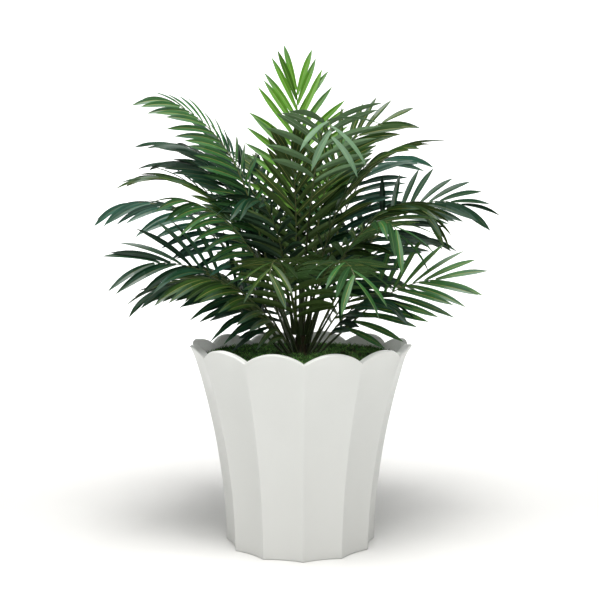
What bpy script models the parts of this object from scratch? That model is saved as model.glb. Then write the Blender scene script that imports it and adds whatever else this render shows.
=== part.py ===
"""Artificial parlour palm in a white fluted planter, at real size.

Metres, +Z up. The origin is the middle of the planter's flat underside.
Bearings are in degrees round the plant: 0 is the front (-Y), 90 the right (+X), 180 the back.
"""
import math

import bmesh
import bpy
from mathutils import Matrix, Vector
from mathutils.bvhtree import BVHTree

# Planter: twelve petals, with a concave flute in each and a narrow ridge under each notch;
# towards the rim each petal curls outward
PETALS = 12
COLUMNS_PER_PETAL = 6
NOTCH_BEARING = 1.7
FOOT_RADIUS = 0.1345
NOTCH_RADIUS = 0.193
NOTCH_HEIGHT = 0.344
PETAL_RISE = 0.017
FLARE_POWER = 1.85
FLUTE_DEPTH = 0.0047
CURL = 0.013
CURL_FROM = 0.26
CURL_POWER = 2
WALL = 0.014
LIP_ROUND = 0.0025
FLOOR = 0.015
FOOT_EDGE = 0.003
MOSS_EDGE = 0.337
OUTER_LEVELS = (0.012, 0.10, 0.20, 0.29, 0.33)
INNER_LEVELS = (MOSS_EDGE, 0.29, 0.17)
CLEARANCE = 0.0003

# Filling and moss
MOSS_CROWN = 0.340
MOSS_RINGS = 3
MOSS_LUMP = 0.0009
MOSS_WAVES = (5, 8)
HOLLOW_RADIUS = 0.040
HOLLOW_FLOOR = 0.318
HOLLOW_FLOOR_RADIUS = 0.018

# Short stem that the fronds rise from, standing in the hollow of the moss
STEM_SIDES = 12
STEM_FOOT = HOLLOW_FLOOR + CLEARANCE
STEM_TOP = 0.3945
STEM_FOOT_RADIUS = 0.0140
STEM_TOP_RADIUS = 0.0068

# Ribs
LOWEST_SOCKET = 0.3245
WHORL_PITCH = 0.0165
WHORL_SIZE = 8
SPREAD_SHARE = 0.911
WIDEST_SPREAD = 90.0
RIB_FOOT_WIDTH = 0.0062
RIB_TIP_WIDTH = 0.0018
RIB_FOOT_DEPTH = 0.0050
RIB_TIP_DEPTH = 0.0014
RIB_TAPER = 1.6
STALK_PARTS = 7
FOOT_REACH = 0.42
TIP_REACH = 0.36
CURVE_STEPS = 120
FRAME_STEP = 0.004
SPREAD_ROUNDS = 200
FOOT_STEPS = (0.0, 0.003, 0.006, 0.009, 0.013, 0.018, 0.024, 0.032)

# Leaflets
PAIR_PITCH = 0.026
FEWEST_PAIRS = 5
BASE_SPAN = 0.0052
BLADE_WIDTH = 0.0136
BLADE_THICKNESS = 0.0013
WIDEST_AT = 0.50
FIRST_ANGLE = 57.0
ANGLE_POWER = 1.5
FOOT_LOSS = 0.15
TIP_LOSS = 0.31
LOSS_POWER = 3
LOUVRE = 18.0
ROOM = 0.0005
LIFT_TRIES = (0.0, 10.0, -10.0, 20.0, -20.0, 30.0, -30.0)
LENGTH_TRIES = (1.0, 0.80, 0.62)

# Each frond: bearing, reach and height of the rib's tip, slope of the rib at its foot and at
# its tip, roll of the blade about the rib, bare share of the rib, length of the longest
# leaflet, droop of the leaflets as a share of their length, tilt of the leaflets above the
# blade's own plane, angle between the rib and the leaflets at its tip
FRONDS = {
    "frond_top_centre": (184, 0.100, 0.824, 89, 80, 0, 0.46, 0.128, 0.10, 10, 14),
    "frond_front_tall": (16, 0.180, 0.706, 87, -76, 0, 0.62, 0.108, 0.26, 5, 40),
    "frond_centre_inner": (-10, 0.090, 0.690, 82, 50, 0, 0.24, 0.105, 0.20, 5, 14),
    "frond_right_upper": (97, 0.150, 0.752, 81, 18, 60, 0.32, 0.100, 0.14, 10, 14),
    "frond_right_upper_front": (58, 0.205, 0.700, 79, 12, 15, 0.30, 0.100, 0.22, -5, 14),
    "frond_right_upper_back": (124, 0.240, 0.700, 68, 2, 10, 0.32, 0.100, 0.22, -20, 14),
    "frond_right_long": (96, 0.295, 0.605, 64, -18, 58, 0.24, 0.106, 0.20, 5, 14),
    "frond_right_arch": (72, 0.230, 0.585, 74, -45, 10, 0.34, 0.098, 0.25, -25, 14),
    "frond_right_front": (46, 0.225, 0.550, 71, -58, 10, 0.27, 0.112, 0.26, 0, 36),
    "frond_right_low": (80, 0.242, 0.474, 41, 4, 58, 0.28, 0.126, 0.14, 10, 14),
    "frond_right_rim": (66, 0.168, 0.436, 47, -24, 15, 0.30, 0.080, 0.20, -15, 14),
    "frond_front_right": (22, 0.232, 0.478, 76, -66, 0, 0.24, 0.102, 0.26, 0, 38),
    "frond_front_centre": (-14, 0.205, 0.488, 71, -62, 0, 0.20, 0.098, 0.24, 0, 36),
    "frond_front_left_mid": (-34, 0.165, 0.610, 77, -12, -15, 0.28, 0.100, 0.34, -15, 14),
    "frond_left_low_front": (-56, 0.225, 0.476, 56, -8, -20, 0.20, 0.116, 0.24, -15, 14),
    "frond_left_rim": (-77, 0.258, 0.456, 46, -22, -15, 0.24, 0.096, 0.22, -12, 14),
    "frond_left_front": (-66, 0.271, 0.505, 55, -3, -60, 0.24, 0.128, 0.28, 10, 14),
    "frond_left_mid": (-60, 0.225, 0.610, 66, 12, -46, 0.32, 0.078, 0.46, -30, 14),
    "frond_left_far": (-83, 0.306, 0.606, 58, -8, -30, 0.34, 0.098, 0.36, -18, 14),
    "frond_left_olive": (-94, 0.270, 0.653, 67, -6, -12, 0.30, 0.096, 0.14, 0, 14),
    "frond_left_back_mid": (-103, 0.248, 0.683, 70, 0, -8, 0.32, 0.088, 0.16, -15, 14),
    "frond_left_back_upper": (-112, 0.273, 0.722, 66, 5, -8, 0.32, 0.088, 0.16, -12, 14),
    "frond_left_back_high": (-126, 0.190, 0.728, 76, 44, -12, 0.32, 0.104, 0.14, -10, 14),
    "frond_left_upper": (-88, 0.232, 0.787, 67, 24, -40, 0.34, 0.088, 0.28, -12, 14),
    "frond_back_right_high": (150, 0.200, 0.730, 76, 25, 0, 0.34, 0.102, 0.16, 0, 14),
    "frond_back_left_high": (-152, 0.200, 0.700, 67, 20, 0, 0.34, 0.102, 0.16, 0, 14),
    "frond_back_right_mid": (138, 0.280, 0.615, 65, -8, 0, 0.30, 0.102, 0.20, -10, 14),
    "frond_back_mid": (174, 0.270, 0.600, 66, -12, 0, 0.30, 0.102, 0.20, -10, 14),
    "frond_back_left_mid": (-138, 0.280, 0.600, 63, -8, 0, 0.30, 0.102, 0.20, -10, 14),
    "frond_right_back_mid": (112, 0.256, 0.545, 58, -8, 0, 0.34, 0.100, 0.20, -20, 14),
    "frond_back_right_low": (132, 0.242, 0.460, 47, -12, 0, 0.32, 0.096, 0.22, -10, 14),
    "frond_back_left_low": (-150, 0.248, 0.455, 46, -14, 0, 0.32, 0.096, 0.22, -10, 14),
    "frond_left_back_low": (-118, 0.256, 0.490, 50, -10, 0, 0.32, 0.098, 0.22, -20, 14),
}

# Angles in degrees between faces that stay creased
POT_CREASE = 32
MOSS_CREASE = 40
STEM_CREASE = 50

# Finishes: base colour, roughness
POT_WHITE = ((0.76, 0.77, 0.74), 0.55)
MOSS_GREEN = ((0.014, 0.032, 0.011), 0.95)
STEM_BROWN = ((0.030, 0.026, 0.014), 0.80)
FROND_GREEN = ((0.030, 0.075, 0.026), 0.50)


def clear_scene():
    for thing in list(bpy.data.objects):
        bpy.data.objects.remove(thing, do_unlink=True)


def finish(name, look):
    colour, roughness = look
    material = bpy.data.materials.new(name)
    material.use_nodes = True
    shader = material.node_tree.nodes["Principled BSDF"]
    shader.inputs["Base Color"].default_value = (*colour, 1.0)
    shader.inputs["Roughness"].default_value = roughness
    shader.inputs["Metallic"].default_value = 0.0
    return material


def add_object(name, points, faces, material, crease=None):
    mesh = bpy.data.meshes.new(name)
    mesh.from_pydata([tuple(p) for p in points], [], faces)
    mesh.materials.append(material)
    if crease is not None:
        mesh.shade_smooth()
        mesh.set_sharp_from_angle(angle=math.radians(crease))
    thing = bpy.data.objects.new(name, mesh)
    bpy.context.scene.collection.objects.link(thing)
    return thing


def outward(bearing):
    """Level unit vector at a bearing in degrees."""
    turn = math.radians(bearing)
    return Vector((math.sin(turn), -math.cos(turn), 0.0))


def ridge_radius(height):
    share = max(height, 0.0) / NOTCH_HEIGHT
    return FOOT_RADIUS + (NOTCH_RADIUS - FOOT_RADIUS) * share ** FLARE_POWER


def petal_columns():
    """Bearing of each column of the planter, and its place across the petal from -1 to 1."""
    columns = []
    for petal in range(PETALS):
        for step in range(COLUMNS_PER_PETAL):
            across = -1.0 + 2.0 * step / COLUMNS_PER_PETAL
            half = 180.0 / PETALS
            columns.append((NOTCH_BEARING + half * (2 * petal + 1 + across), across))
    return columns


def outer_radius(height, across):
    half = math.pi / PETALS
    flat = ridge_radius(height) * math.cos(half) / math.cos(half * across)
    rise = max(0.0, height - CURL_FROM) / (NOTCH_HEIGHT + PETAL_RISE - CURL_FROM)
    return flat + (CURL * rise ** CURL_POWER - FLUTE_DEPTH) * (1.0 - across * across)


def petal_top(across):
    return NOTCH_HEIGHT + PETAL_RISE * (1.0 - across * across)


def ring_of(columns, place):
    """Points of one ring round the planter; place(across) gives radius and height."""
    points = []
    for bearing, across in columns:
        radius, height = place(across)
        points.append(outward(bearing) * radius + Vector((0, 0, height)))
    return points


def lathe_faces(ring_count, sides, rising=True):
    """Triangles between rings laid one after another, with a polygon over the first and last.

    A wall laid from below and one laid from above share their diagonals when only one is rising.
    """
    faces = []
    for ring in range(ring_count - 1):
        for k in range(sides):
            n = (k + 1) % sides
            a, b = ring * sides + k, ring * sides + n
            c, d = b + sides, a + sides
            faces += [(a, b, d), (b, c, d)] if rising else [(a, b, c), (a, c, d)]
    faces.append(tuple(reversed(range(sides))))
    last = (ring_count - 1) * sides
    faces.append(tuple(last + k for k in range(sides)))
    return faces


def planter_rings(columns):
    rings = [ring_of(columns, lambda a: (outer_radius(0.0, a) - FOOT_EDGE, 0.0))]
    rings.append(ring_of(columns, lambda a: (outer_radius(0.0, a), FOOT_EDGE)))
    for level in OUTER_LEVELS:
        rings.append(ring_of(columns, lambda a, z=level: (outer_radius(z, a), z)))
    for inset, drop in ((0, LIP_ROUND), (LIP_ROUND, 0), (WALL - LIP_ROUND, 0), (WALL, LIP_ROUND)):
        def lip_place(a, i=inset, d=drop):
            return outer_radius(petal_top(a), a) - i, petal_top(a) - d
        rings.append(ring_of(columns, lip_place))
    for level in INNER_LEVELS:
        rings.append(ring_of(columns, lambda a, z=level: (outer_radius(z, a) - WALL, z)))
    rings.append(ring_of(columns, lambda a: (outer_radius(FLOOR, a) - WALL, FLOOR)))
    return rings


def make_planter():
    columns = petal_columns()
    rings = planter_rings(columns)
    points = [p for ring in rings for p in ring]
    return add_object("pot", points, lathe_faces(len(rings), len(columns), rising=False),
                      finish("pot", POT_WHITE), crease=POT_CREASE)


def moss_height(share, bearing):
    """Height of the moss at a share of the way in from the wall, with gentle lumps."""
    lumps = sum(math.sin(math.radians(wave * bearing) + wave * share) for wave in MOSS_WAVES)
    return MOSS_EDGE + (MOSS_CROWN - MOSS_EDGE) * share + MOSS_LUMP * lumps * share


def make_moss():
    columns = petal_columns()
    wall_levels = (FLOOR + CLEARANCE,) + tuple(reversed(INNER_LEVELS))
    rings = []
    for level in wall_levels:
        rings.append(ring_of(columns, lambda a, z=level: (outer_radius(z, a) - WALL - CLEARANCE, z)))
    for step in range(1, MOSS_RINGS + 1):
        share = step / MOSS_RINGS
        points = []
        for (bearing, across), edge in zip(columns, rings[len(wall_levels) - 1]):
            radius = edge.to_2d().length * (1 - share) + HOLLOW_RADIUS * share
            points.append(outward(bearing) * radius + Vector((0, 0, moss_height(share, bearing))))
        rings.append(points)
    rings.append(ring_of(columns, lambda a: (HOLLOW_FLOOR_RADIUS, HOLLOW_FLOOR)))
    points = [p for ring in rings for p in ring]
    return add_object("moss_bed", points, lathe_faces(len(rings), len(columns)),
                      finish("moss_bed", MOSS_GREEN), crease=MOSS_CREASE)


def stem_radius(height):
    share = (height - STEM_FOOT) / (STEM_TOP - STEM_FOOT)
    return STEM_FOOT_RADIUS + (STEM_TOP_RADIUS - STEM_FOOT_RADIUS) * share


def make_stem():
    rings = []
    for height in (STEM_FOOT, (STEM_FOOT + STEM_TOP) / 2, STEM_TOP):
        radius = stem_radius(height)
        rings.append([outward(360 * k / STEM_SIDES) * radius + Vector((0, 0, height))
                      for k in range(STEM_SIDES)])
    points = [p for ring in rings for p in ring]
    return add_object("stem", points, lathe_faces(len(rings), STEM_SIDES),
                      finish("stem", STEM_BROWN), crease=STEM_CREASE)


def slant(level, slope):
    """Unit vector along a level direction, raised by a slope in degrees."""
    turn = math.radians(slope)
    return level * math.cos(turn) + Vector((0, 0, math.sin(turn)))


def spread(bearings, least):
    """Move sorted bearings round the stem until each is at least so far from the next."""
    places = list(bearings)
    count = len(places)
    for _ in range(SPREAD_ROUNDS):
        for k in range(count):
            n = (k + 1) % count
            turn = 360.0 if n == 0 else 0.0
            lack = least - (places[n] + turn - places[k])
            if lack > 0:
                places[k] -= lack / 2
                places[n] += lack / 2
    return places


def sockets():
    """Height and bearing of each frond's foot on the stem, the flattest fronds lowest."""
    bearings = {name: row[0] % 360 for name, row in FRONDS.items()}
    foot_slopes = {name: row[3] for name, row in FRONDS.items()}
    order = sorted(FRONDS, key=foot_slopes.get)
    found = {}
    for first in range(0, len(order), WHORL_SIZE):
        whorl = sorted(order[first:first + WHORL_SIZE], key=bearings.get)
        height = LOWEST_SOCKET + WHORL_PITCH * (first // WHORL_SIZE)
        least = min(SPREAD_SHARE * 360 / len(whorl), WIDEST_SPREAD)
        places = spread([bearings[name] for name in whorl], least)
        for name, place in zip(whorl, places):
            found[name] = (height, place)
    return found


def rib_curve(name, socket, radius):
    """Function that gives a point of the rib for a share from foot to tip."""
    bearing, reach, height, foot_slope, tip_slope = FRONDS[name][:5]
    level = outward(bearing)
    foot = outward(socket[1]) * radius + Vector((0, 0, socket[0]))
    tip = level * reach + Vector((0, 0, height))
    span = (tip - foot).length
    from_foot = foot + slant(level, foot_slope) * span * FOOT_REACH
    to_tip = tip - slant(level, tip_slope) * span * TIP_REACH

    def at(u):
        v = 1 - u
        return foot * v ** 3 + from_foot * 3 * u * v * v + to_tip * 3 * u * u * v + tip * u ** 3
    return at


def running_lengths(at):
    """Length along the curve at even steps of its own parameter."""
    points = [at(k / CURVE_STEPS) for k in range(CURVE_STEPS + 1)]
    run = [0.0]
    for a, b in zip(points, points[1:]):
        run.append(run[-1] + (b - a).length)
    return run


class Rib:
    """A frond's rib with its blade's own directions along it."""

    def __init__(self, name, socket):
        self.name = name
        self.roll, self.bare, self.leaf, self.droop, self.vee, self.close = FRONDS[name][5:]
        radius = stem_radius(socket[0]) + RIB_FOOT_WIDTH
        self.settle(socket, radius)
        self.settle(socket, radius + CLEARANCE - self.stem_gap())

    def stem_gap(self):
        """Least distance between the stem and the first stretch of the rib."""
        spots = []
        for distance in FOOT_STEPS:
            ring = self.ring(distance)
            spots += ring + [a.lerp(b, 0.5) for a, b in zip(ring, ring[1:] + ring[:1])]
        return min(s.to_2d().length - stem_radius(s.z) for s in spots if s.z < STEM_TOP)

    def settle(self, socket, radius):
        self.at = rib_curve(self.name, socket, radius)
        self.run = running_lengths(self.at)
        self.length = self.run[-1]

    def parameter(self, distance):
        for k in range(CURVE_STEPS):
            if self.run[k + 1] >= distance:
                gap = self.run[k + 1] - self.run[k]
                return (k + (distance - self.run[k]) / gap) / CURVE_STEPS
        return 1.0

    def frame(self, distance):
        """Point, direction, side and upper normal at a distance along the rib."""
        distance = min(max(distance, 0.0), self.length)
        u = self.parameter(distance)
        before, after = max(u - FRAME_STEP, 0.0), min(u + FRAME_STEP, 1.0)
        along = (self.at(after) - self.at(before)).normalized()
        side = along.cross(Vector((0, 0, 1))).normalized()
        rolled = self.roll * min(1.0, distance / (self.length * self.bare))
        side = Matrix.Rotation(math.radians(rolled), 3, along) @ side
        return self.at(u), along, side, side.cross(along).normalized()

    def half_sizes(self, distance):
        left = (1 - min(distance / self.length, 1.0)) ** RIB_TAPER
        width = RIB_TIP_WIDTH + (RIB_FOOT_WIDTH - RIB_TIP_WIDTH) * left
        depth = RIB_TIP_DEPTH + (RIB_FOOT_DEPTH - RIB_TIP_DEPTH) * left
        return width / 2, depth / 2

    def ring(self, distance):
        point, along, side, up = self.frame(distance)
        half_width, half_depth = self.half_sizes(distance)
        right, top = side * half_width, up * half_depth
        return [point + right + top, point - right + top, point - right - top, point + right - top]


def pair_places(rib):
    """Distances along the rib at which each pair of leaflets starts, foot to tip."""
    start = rib.length * rib.bare
    last = rib.length - BASE_SPAN
    count = max(FEWEST_PAIRS - 1, round((last - start) / PAIR_PITCH))
    return [start + (last - start) * k / count for k in range(count + 1)]


def leaf_shape(rib, place, share, hand, lift, stretch, swell=0.0):
    """Base ring, widest ring and tip of one leaflet; hand is 1 right, -1 left."""
    near, far = rib.ring(place), rib.ring(place + BASE_SPAN)
    if hand > 0:
        base = [near[0], far[0], far[3], near[3]]
    else:
        base = [near[1], far[1], far[2], near[2]]
    point, along, side, up = rib.frame(place + BASE_SPAN / 2)
    angle = math.radians(FIRST_ANGLE + (rib.close - FIRST_ANGLE) * share ** ANGLE_POWER)
    tilt = math.radians(rib.vee + lift)
    reach_out = side * hand * math.cos(tilt) + up * math.sin(tilt)
    axis = along * math.cos(angle) + reach_out * math.sin(angle)
    across = along * math.sin(angle) - reach_out * math.cos(angle)
    across = Matrix.Rotation(math.radians(LOUVRE) * hand, 3, axis) @ across.normalized()
    face = axis.cross(across).normalized()
    if face.dot(up) < 0:
        face = -face
    loss = TIP_LOSS * share ** LOSS_POWER + FOOT_LOSS * (1 - share) ** LOSS_POWER
    length = rib.leaf * stretch * (1 - loss)
    start = point + side * hand * rib.half_sizes(place)[0]
    fall = (axis * axis.z - Vector((0, 0, 1))) * rib.droop

    def spine(s):
        return start + (axis * s + fall * s * s) * length
    middle = spine(WIDEST_AT)
    wide = across * (BLADE_WIDTH / 2 + swell)
    thick = face * (BLADE_THICKNESS / 2 + swell)
    ring = [middle - wide + thick, middle + wide + thick, middle + wide - thick, middle - wide - thick]
    return base, ring, spine(1.0)


BLADE_SIDES = ((0, 1, 5, 4), (1, 2, 6, 5), (2, 3, 7, 6), (3, 0, 4, 7),
               (4, 5, 8), (5, 6, 8), (6, 7, 8), (7, 4, 8))


def search_tree(points, faces):
    """Tree for finding overlaps, with the lowest and highest corner of its box."""
    low = Vector([min(p[k] for p in points) for k in range(3)])
    high = Vector([max(p[k] for p in points) for k in range(3)])
    return BVHTree.FromPolygons(points, faces), low, high


def blade_tree(shape):
    base, ring, tip = shape
    return search_tree(base + ring + [tip], BLADE_SIDES + ((3, 2, 1, 0),))


def boxes_meet(a, b):
    return all(a[1][k] <= b[2][k] and b[1][k] <= a[2][k] for k in range(3))


def rib_stations(rib, places):
    """Distances of the rib's rings: the stalk's, then two for each pair of leaflets."""
    stalk = [places[0] * k / STALK_PARTS for k in range(STALK_PARTS)]
    stations = list(stalk)
    for place in places:
        stations += [place, place + BASE_SPAN]
    return stations


def rib_mesh(rings, open_sides):
    """Faces of a four-sided rib, leaving out each side where a leaflet starts."""
    points = [p for ring in rings for p in ring]
    faces = [(0, 1, 2, 3)]
    for k in range(len(rings) - 1):
        low, high = 4 * k, 4 * (k + 1)
        for side in range(4):
            n = (side + 1) % 4
            if (k, side) not in open_sides:
                faces.append((low + side, high + side, high + n, low + n))
    last = 4 * (len(rings) - 1)
    faces.append((last + 3, last + 2, last + 1, last))
    return points, faces


def thing_tree(thing):
    mesh = thing.data
    return search_tree([v.co.copy() for v in mesh.vertices], [tuple(p.vertices) for p in mesh.polygons])


def place_leaflets(ribs, fixed):
    """Leaflets that touch nothing, the outermost pairs of all fronds first."""
    trees = []
    for rib in ribs:
        places = pair_places(rib)
        rib.places = places
        rib.rings = [rib.ring(d) for d in rib_stations(rib, places)]
        rib.leaflets = {}
        trees.append((rib, search_tree(*rib_mesh(rib.rings, set()))))
    placed = list(fixed)
    for turn in range(max(len(rib.places) for rib in ribs)):
        for rib in ribs:
            k = len(rib.places) - 1 - turn
            if k < 0:
                continue
            share = k / (len(rib.places) - 1)
            for hand in (1, -1):
                try_leaflet(rib, k, share, hand, trees, placed)


def try_leaflet(rib, k, share, hand, trees, placed):
    """Add a leaflet lifted or shortened until it is clear; with no room it is left out."""
    for stretch in LENGTH_TRIES:
        for lift in LIFT_TRIES:
            probe = blade_tree(leaf_shape(rib, rib.places[k], share, hand, lift, stretch, ROOM))
            others = [tree for other, tree in trees if other is not rib] + placed
            if any(boxes_meet(probe, other) and probe[0].overlap(other[0]) for other in others):
                continue
            rib.leaflets[(k, hand)] = leaf_shape(rib, rib.places[k], share, hand, lift, stretch)
            placed.append(blade_tree(rib.leaflets[(k, hand)]))
            return


def make_frond(rib):
    """One closed blade: the rib, with each leaflet grown out of the rib's side."""
    first = STALK_PARTS
    open_sides = {}
    for (k, hand) in rib.leaflets:
        open_sides[(first + 2 * k, 3 if hand > 0 else 1)] = (k, hand)
    points, faces = rib_mesh(rib.rings, open_sides)
    for (segment, side), key in open_sides.items():
        base_ring, ring, tip = rib.leaflets[key]
        low, high = 4 * segment, 4 * (segment + 1)
        if key[1] > 0:
            base = [low, high, high + 3, low + 3]
        else:
            base = [low + 1, high + 1, high + 2, low + 2]
        start = len(points)
        points += list(ring) + [tip]
        numbers = base + [start, start + 1, start + 2, start + 3, start + 4]
        for side_face in BLADE_SIDES:
            face = tuple(numbers[n] for n in side_face)
            faces.append(face if key[1] < 0 else tuple(reversed(face)))
    return add_object(rib.name, points, faces, finish(rib.name, FROND_GREEN))


def main():
    clear_scene()
    pot = make_planter()
    moss = make_moss()
    stem = make_stem()
    feet = sockets()
    ribs = [Rib(name, feet[name]) for name in FRONDS]
    place_leaflets(ribs, [thing_tree(thing) for thing in (pot, moss, stem)])
    for rib in ribs:
        make_frond(rib)


if __name__ == "__main__":
    main()
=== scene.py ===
"""Artificial parlour palm in a white fluted planter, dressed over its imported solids.

Metres, +Z up. Bearings are in degrees round the plant: 0 is the front (-Y), 90 the right (+X).
"""

import math
import random

import bpy
from mathutils import Matrix, Vector, noise
from mathutils.bvhtree import BVHTree


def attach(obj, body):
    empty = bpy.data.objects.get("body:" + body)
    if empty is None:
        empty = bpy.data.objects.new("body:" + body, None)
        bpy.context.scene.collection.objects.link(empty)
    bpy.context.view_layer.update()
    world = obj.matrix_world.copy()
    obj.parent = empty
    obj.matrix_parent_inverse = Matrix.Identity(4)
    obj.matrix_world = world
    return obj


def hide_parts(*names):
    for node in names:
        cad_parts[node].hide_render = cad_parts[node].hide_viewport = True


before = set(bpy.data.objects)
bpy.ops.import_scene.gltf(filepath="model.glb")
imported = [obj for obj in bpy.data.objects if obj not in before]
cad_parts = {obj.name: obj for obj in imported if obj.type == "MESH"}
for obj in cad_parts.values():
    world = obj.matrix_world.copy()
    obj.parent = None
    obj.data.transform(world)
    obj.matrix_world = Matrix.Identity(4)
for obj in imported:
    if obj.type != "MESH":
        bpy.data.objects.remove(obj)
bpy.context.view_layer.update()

# Camera: the photograph's own place, in metres and degrees
CAMERA_PLACE = (-0.0011, -1.786, 0.5605)
CAMERA_TILT = 86.0
CAMERA_LENS = 60.0
CAMERA_SENSOR = 36.0

# Studio: round floor, then a wall that curves up from it
FLOOR_REACH = 2.6
FLOOR_RING = 1.2
WALL_CURVE = 2.4
WALL_CURVE_STEPS = 12
STAGE_SIDES = 96
AIR_STRENGTH = 0.13

# Planter
PETALS = 12
NOTCH_BEARING = 1.7
FOOT_RADIUS = 0.1345
NOTCH_RADIUS = 0.193
NOTCH_HEIGHT = 0.344
PETAL_RISE = 0.017
FLARE_POWER = 1.85
FLUTE_DEPTH = 0.0047
CURL = 0.013
CURL_FROM = 0.26
CURL_POWER = 2
WALL = 0.014
LIP_ROUND = 0.0025
FLOOR = 0.015
FOOT_EDGE = 0.003
RIDGE_CUT = 0.0004
RIDGE_SPAN = 0.035
PETAL_STEPS = (0.0, 0.017, 0.035, 0.08, 0.16, 0.27, 0.40, 0.55, 0.70, 0.85, 1.0)
WALL_STEPS = 26
LIP_STEPS = 5
# Painted shade: the planter's colour greys from this height down to its foot
PLANTER_UNSHADED_ABOVE = 0.30
PLANTER_SHADE_GREY = (0.650, 0.655, 0.635)

# Filling and moss
MOSS_EDGE = 0.337
MOSS_CROWN = 0.340
HOLLOW_RADIUS = 0.040
HOLLOW_FLOOR = 0.318
HOLLOW_FLOOR_RADIUS = 0.015
MOSS_LUMP = 0.0030
MOSS_LUMP_SCALES = (42.0, 95.0)
MOSS_BED_STEPS = 40
MOSS_STRANDS = 16000
MOSS_STRAND = 0.0085
MOSS_STRAND_WIDTH = 0.0009
MOSS_FRINGE = 0.012
MOSS_WALL_GAP = 0.003
MOSS_BROWN_SHARE = 0.06
MOSS_PATCH_SCALE = 60.0
MOSS_DEEP_BELOW = -0.05
MOSS_LIGHT_ABOVE = 0.30
MOSS_GRAIN = (900.0, 120.0, 0.3)

# Stem
STEM_FOOT = 0.3183
STEM_TOP = 0.3945
STEM_FOOT_RADIUS = 0.0140
STEM_TOP_RADIUS = 0.0068
STEM_FIBRES = 260
STEM_SIDES = 32
STEM_STEPS = 28
SCAR_STEPS = 5.6
SCAR_DEPTH = 0.0005
BARK_ROUGHNESS = 0.0004
FIBRE_HALF = 0.0002

# Ribs
LOWEST_SOCKET = 0.3245
WHORL_PITCH = 0.0165
WHORL_SIZE = 8
SPREAD_SHARE = 0.911
WIDEST_SPREAD = 90.0
RIB_FOOT_WIDTH = 0.0062
RIB_TIP_WIDTH = 0.0018
RIB_FOOT_DEPTH = 0.0050
RIB_TIP_DEPTH = 0.0014
RIB_TAPER = 1.6
CLEARANCE = 0.0003
FOOT_REACH = 0.42
TIP_REACH = 0.36
FOOT_STEPS = (0.0, 0.003, 0.006, 0.009, 0.013, 0.018, 0.024, 0.032)
RIB_SIDES = 8
RIB_RINGS = 34
SHEATH_LENGTH = 0.035
SHEATH_SWELL = 0.35
RIB_END = 0.35
GROOVE = 0.80
PETIOLE_SHARE = 0.85
CURVE_STEPS = 120
TANGENT_STEP = 0.004
SPREAD_ROUNDS = 200
PROBE_RINGS = 24

# Leaflets
PAIR_PITCH = 0.0195
BASE_SPAN = 0.0052
BLADE_WIDTH = 0.0120
BLADE_THICKNESS = 0.0005
WIDEST_AT = 0.57
FOOT_WIDTH_SHARE = 0.38
TIP_POWER = 2.3
FIRST_ANGLE = 57.0
ANGLE_POWER = 1.5
FOOT_LOSS = 0.15
TIP_LOSS = 0.31
LOUVRE = 18.0
ANGLE_SPREAD = 3.0
TILT_SPREAD = 4.0
LENGTH_SPREAD = (0.94, 1.05)
DROOP_SPREAD = (0.8, 1.25)
ROOT_SHARE = 0.6
ROOM = 0.0003
LIFT_TRIES = (0.0, 9.0, -9.0, 18.0, -18.0, 28.0, -28.0)
LENGTH_TRIES = (1.0, 0.82, 0.66)
BLADE_STEPS = 9
CREASE = 17.0
LEAF_TWIST = 14.0
LEAF_BEND = 0.04
LEAF_POINT = 0.00025
EDGE_THINNESS = 0.45
LEAF_GRAIN = (420.0, 45.0, 0.55)
MIDRIB_SHARE = 0.075
CROWN_MIDDLE = (0.0, 0.0, 0.52)
CROWN_SIZE = (0.30, 0.24, 0.30)
# Painted shade: leaflets deep in the crown, and a share of others at random, take a darker copy of their
# tone
PAINTED_SHADE_DEPTH = 0.42
PAINTED_SHADE_DARKNESS = 0.36
RANDOM_PAINTED_SHADE_SHARE = 0.14
FAN_CLOSE = 30.0
FAN_INNER_DEPTH = 0.35

# Finish of each face of a leaflet, by its place in the list of a tone
UPPER, SECOND, UNDER, MIDRIB, PAINTED_SHADE, FIRST_SHEEN_TIP = range(6)
FIRST_SHADE_SHARE = 0.6
PLAIN_TIP_SHARE = 0.3
# Tips: blended toward a pale blue-grey that is partly the print's bluish tint and partly painted sheen
TIP_ROWS = (4, 5, 6, 7)
TIP_SHEEN_TINT = (0.080, 0.145, 0.115)
TIP_SHEEN_SHARES = (0.14, 0.28, 0.42)
LAST_SHEEN_TIP = FIRST_SHEEN_TIP + len(TIP_SHEEN_SHARES) - 1
ACROSS_PLACES = (-1.0, -0.5, -MIDRIB_SHARE, MIDRIB_SHARE, 0.5, 1.0)
MIDDLE_STRIP = 2

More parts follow.
